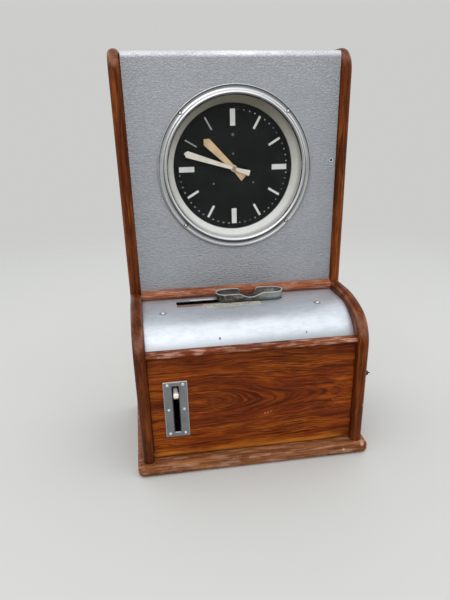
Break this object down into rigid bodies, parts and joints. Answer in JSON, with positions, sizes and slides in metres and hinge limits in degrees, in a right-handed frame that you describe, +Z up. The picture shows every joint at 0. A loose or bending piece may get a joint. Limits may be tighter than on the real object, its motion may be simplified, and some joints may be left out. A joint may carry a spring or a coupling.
{
  "type": "time clock",
  "caption": "Tabletop time clock in a wooden case: round black dial with bar markers above, curved metal cover with a sliding card guide and a stamping lever below.",
  "frame": {"origin": "middle of the plinth's underside", "axes": "+Z up, the dial and lever face -Y, +X towards the right as the dial is read"},
  "size_m": [0.4015, 0.2505, 0.643],
  "materials": {
    "oak": "oiled oak, open grain",
    "inner_wood": "plain plywood and battens",
    "hammertone": "silver-grey hammered paint",
    "cover_metal": "dull rolled sheet, scuffed",
    "bezel_metal": "satin turned",
    "clear_glass": "clear flat glass",
    "reveal_paint": "matt cream-grey paint",
    "dial_black": "matt black",
    "bar_paint": "aged off-white paint",
    "minute_paint": "aged cream paint",
    "hour_paint": "yellowed cream paint",
    "brass": "machined",
    "steel": "machined and plated steel",
    "screw_steel": "nickel-plated screws",
    "cast_metal": "dull sand-cast grey",
    "plate_steel": "flat grey steel plate",
    "lever_steel": "worn plated bar",
    "tip_nickel": "polished, worn to a warm tone",
    "lock_iron": "dark iron",
    "rubber": "black rubber",
    "coil": "lacquered winding on an iron yoke",
    "terminal": "dark moulding",
    "ribbon": "inked cloth ribbon",
    "spool": "dark lacquered sheet"
  },
  "bodies": {
    "case": {"base_plinth": "oak", "side_board_left": "oak", "side_board_right": "oak", "dial_rail": "oak", "cover_nosing": "oak", "back_panel": "inner_wood", "panel_battens": "inner_wood", "cover_rail": "inner_wood", "cable_bush": "rubber", "terminal_block": "terminal", "dial_panel": "hammertone", "curved_cover": "cover_metal", "cover_screws": "screw_steel", "lock_bush": "lock_iron", "bezel_ring": "bezel_metal", "bezel_screws": "screw_steel", "dial_glass": "clear_glass", "reveal_ring": "reveal_paint", "dial_plate": "dial_black", "dial_screws": "steel", "hour_bars": "bar_paint", "movement_front_plate": "brass", "movement_back_plate": "brass", "movement_pillars": "brass", "dial_magnet": "coil", "slide_rails": "steel", "mechanism_frame": "steel", "return_spring": "steel", "type_bracket": "steel", "type_magnet": "coil", "ribbon_plates": "steel", "ink_ribbon": "ribbon"},
    "minute_train": {"minute_hand": "minute_paint", "hand_nut": "brass", "minute_arbor": "brass", "dial_ratchet": "brass"},
    "hour_train": {"hour_hand": "hour_paint", "hour_wheel": "brass"},
    "motion_work": {"motion_wheel": "brass"},
    "dial_armature": {"dial_armature": "steel"},
    "card_carriage": {"card_guide": "cast_metal", "guide_carriage": "cast_metal"},
    "stamp_rocker": {"rock_shaft": "steel", "stamp_lever": "lever_steel", "lever_tip": "tip_nickel", "stamp_hammer": "steel", "hammer_pad": "rubber"},
    "type_minutes": {"type_arbor": "brass", "minute_type_wheel": "brass", "type_ratchet": "brass"},
    "type_hours": {"hour_type_wheel": "brass"},
    "carry_train": {"carry_wheel": "brass"},
    "type_armature": {"type_armature": "steel"},
    "spool_left": {"ribbon_spool_left": "spool"},
    "spool_right": {"ribbon_spool_right": "spool"},
    "front_door": {"front_panel": "oak", "lever_plate": "plate_steel", "lever_plate_screws": "screw_steel", "door_pivots": "steel"},
    "lock": {"lock_spindle": "lock_iron"}
  },
  "joints": [
    {"name": "minute_spin", "type": "hinge", "parent": "case", "child": "minute_train", "pos_m": [0, 0.07, 0.466], "axis": [0, 1, 0], "continuous": true},
    {"name": "hour_spin", "type": "hinge", "parent": "case", "child": "hour_train", "pos_m": [0, 0.07, 0.466], "axis": [0, 1, 0], "continuous": true},
    {"name": "motion_spin", "type": "hinge", "parent": "case", "child": "motion_work", "pos_m": [0, 0.075, 0.448], "axis": [0, 1, 0], "continuous": true},
    {"name": "dial_armature_pull", "type": "hinge", "parent": "case", "child": "dial_armature", "pos_m": [0.0005, 0.089, 0.423], "axis": [0, -1, 0], "range_deg": [0, 4], "stiffness_Nm_per_rad": 0.05, "springref_deg": -11.46},
    {"name": "guide_slide", "type": "slide", "parent": "case", "child": "card_carriage", "axis": [1, 0, 0], "range_m": [-0.067, 0]},
    {"name": "stamp_press", "type": "hinge", "parent": "case", "child": "stamp_rocker", "pos_m": [-0.129, 0.055, 0.118], "axis": [1, 0, 0], "range_deg": [0, 24], "stiffness_Nm_per_rad": 1.5, "springref_deg": -22.92},
    {"name": "type_minute_spin", "type": "hinge", "parent": "case", "child": "type_minutes", "pos_m": [-0.0185, -0.0105, 0.178], "axis": [1, 0, 0], "continuous": true},
    {"name": "type_hour_spin", "type": "hinge", "parent": "case", "child": "type_hours", "pos_m": [-0.0185, -0.0105, 0.178], "axis": [1, 0, 0], "continuous": true},
    {"name": "carry_spin", "type": "hinge", "parent": "case", "child": "carry_train", "pos_m": [-0.0185, -0.02323, 0.16527], "axis": [1, 0, 0], "continuous": true},
    {"name": "type_armature_pull", "type": "hinge", "parent": "case", "child": "type_armature", "pos_m": [-0.005, -0.01, 0.135], "axis": [1, 0, 0], "range_deg": [0, 4], "stiffness_Nm_per_rad": 0.05, "springref_deg": -11.46},
    {"name": "spool_left_spin", "type": "hinge", "parent": "case", "child": "spool_left", "pos_m": [-0.0665, -0.02, 0.178], "axis": [0, 0, 1], "continuous": true},
    {"name": "spool_right_spin", "type": "hinge", "parent": "case", "child": "spool_right", "pos_m": [0.0295, -0.02, 0.178], "axis": [0, 0, 1], "continuous": true},
    {"name": "door_drop", "type": "hinge", "parent": "case", "child": "front_door", "pos_m": [0, -0.0983, 0.0269], "axis": [1, 0, 0], "range_deg": [0, 90]},
    {"name": "lock_turn", "type": "hinge", "parent": "case", "child": "lock", "pos_m": [0.19, -0.0973, 0.1439], "axis": [1, 0, 0], "range_deg": [0, 90]}
  ],
  "couplings": [
    {"joint": "hour_spin", "follows": "minute_spin", "ratio": 0.083333},
    {"joint": "motion_spin", "follows": "minute_spin", "ratio": -0.33333},
    {"joint": "type_hour_spin", "follows": "type_minute_spin", "ratio": 0.083333},
    {"joint": "carry_spin", "follows": "type_minute_spin", "ratio": -0.33333},
    {"joint": "spool_right_spin", "follows": "spool_left_spin", "ratio": 1}
  ]
}
